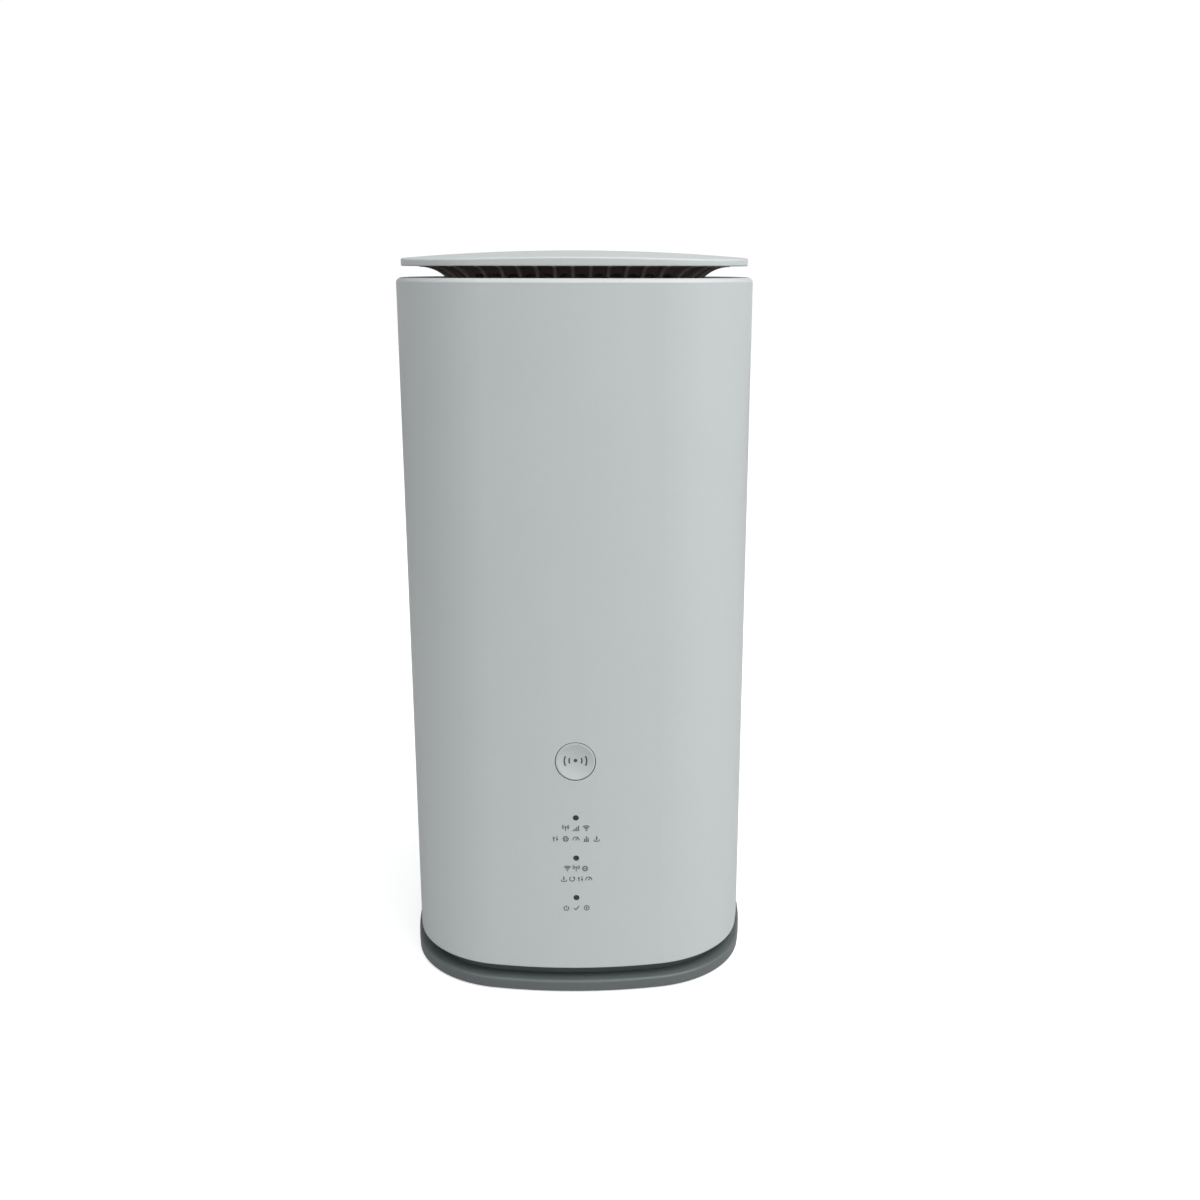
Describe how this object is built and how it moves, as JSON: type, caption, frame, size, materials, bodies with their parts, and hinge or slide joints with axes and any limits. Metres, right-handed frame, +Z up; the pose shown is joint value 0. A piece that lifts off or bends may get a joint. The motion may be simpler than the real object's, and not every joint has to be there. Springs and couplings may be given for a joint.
{
  "type": "cellular home router",
  "caption": "Tall rounded-square router tower: white sleeve and floating lid over a finned vent crown, grey plinth, pairing button, indicators, rear jacks and SIM tray.",
  "frame": {"origin": "centre of the surface it stands on, under its feet", "axes": "+Z up, the front with the button faces -Y, +X to the right seen from the front"},
  "size_m": [0.1022, 0.1022, 0.2077],
  "materials": {
    "shell_white": "fine satin texture",
    "plinth_grey": "satin",
    "crown_brown": "satin",
    "button_white": "satin",
    "lens_smoke": "polished",
    "rubber_black": "matte",
    "frame_grey": "matte",
    "board_green": "solder mask",
    "chip_black": "moulded",
    "pad_grey": "soft",
    "tinned_steel": "tinned",
    "cooler_aluminium": "extruded",
    "screw_steel": "plated",
    "contact_gold": "plated",
    "copper_film": "film",
    "socket_black": "moulded",
    "ribbon_white": "film",
    "lead_grey": "sheath",
    "led_yellow": "resin",
    "lamp_clear": "resin",
    "card_white": "card"
  },
  "bodies": {
    "housing": {"body_sleeve": "shell_white", "top_lid": "shell_white", "base_plinth": "plinth_grey", "feet": "rubber_black", "vent_crown": "crown_brown", "vent_gutter": "crown_brown", "switch_body": "socket_black", "light_guide": "lens_smoke", "led_chips": "led_yellow", "led_board": "board_green", "led_bracket": "frame_grey", "led_board_screws": "screw_steel", "ribbon_cable": "ribbon_white", "ribbon_sockets": "socket_black", "base_deck": "frame_grey", "top_deck": "frame_grey", "rail_right": "frame_grey", "rail_left": "frame_grey", "antenna_carrier_front": "frame_grey", "antenna_carrier_rear": "frame_grey", "antenna_board_front": "board_green", "antenna_board_rear": "board_green", "antenna_board_right": "board_green", "antenna_board_left": "board_green", "antenna_traces": "copper_film", "wifi_antennas": "tinned_steel", "main_board": "board_green", "main_board_chips": "chip_black", "thermal_pads": "pad_grey", "shield_can_radio": "tinned_steel", "shield_can_modem": "tinned_steel", "shield_can_processor": "tinned_steel", "heatsink_front": "cooler_aluminium", "heatsink_rear": "cooler_aluminium", "heatsink_screws": "screw_steel", "io_board": "board_green", "edge_connector": "socket_black", "lan_magnetics": "chip_black", "coax_sockets": "contact_gold", "coax_right": "lead_grey", "coax_left": "lead_grey", "coax_front": "lead_grey", "coax_rear": "lead_grey", "io_panel": "plinth_grey", "lan_jack_1": "socket_black", "lan_jack_2": "socket_black", "lan_lamps": "lamp_clear", "lan_contacts": "contact_gold", "dc_jack": "socket_black", "dc_pin": "tinned_steel", "reset_switch": "socket_black", "sim_socket": "tinned_steel", "plinth_screws": "screw_steel", "lid_screws": "screw_steel", "inner_screws": "screw_steel"},
    "pair_button": {"pair_button": "button_white"},
    "switch_plunger": {"switch_plunger": "socket_black"},
    "reset_button": {"reset_button": "chip_black"},
    "sim_tray": {"sim_tray": "plinth_grey", "sim_card": "card_white"}
  },
  "joints": [
    {"name": "pair_press", "type": "slide", "parent": "housing", "child": "pair_button", "axis": [0, 1, 0], "range_m": [0, 0.0006], "stiffness_N_per_m": 1500},
    {"name": "plunger_press", "type": "slide", "parent": "housing", "child": "switch_plunger", "axis": [0, 1, 0], "range_m": [0, 0.0006]},
    {"name": "reset_press", "type": "slide", "parent": "housing", "child": "reset_button", "axis": [0, -1, 0], "range_m": [0, 0.0003], "stiffness_N_per_m": 1500},
    {"name": "sim_tray_slide", "type": "slide", "parent": "housing", "child": "sim_tray", "axis": [0, 1, 0], "range_m": [0, 0.018]}
  ],
  "couplings": [
    {"joint": "plunger_press", "follows": "pair_press", "ratio": 1}
  ]
}
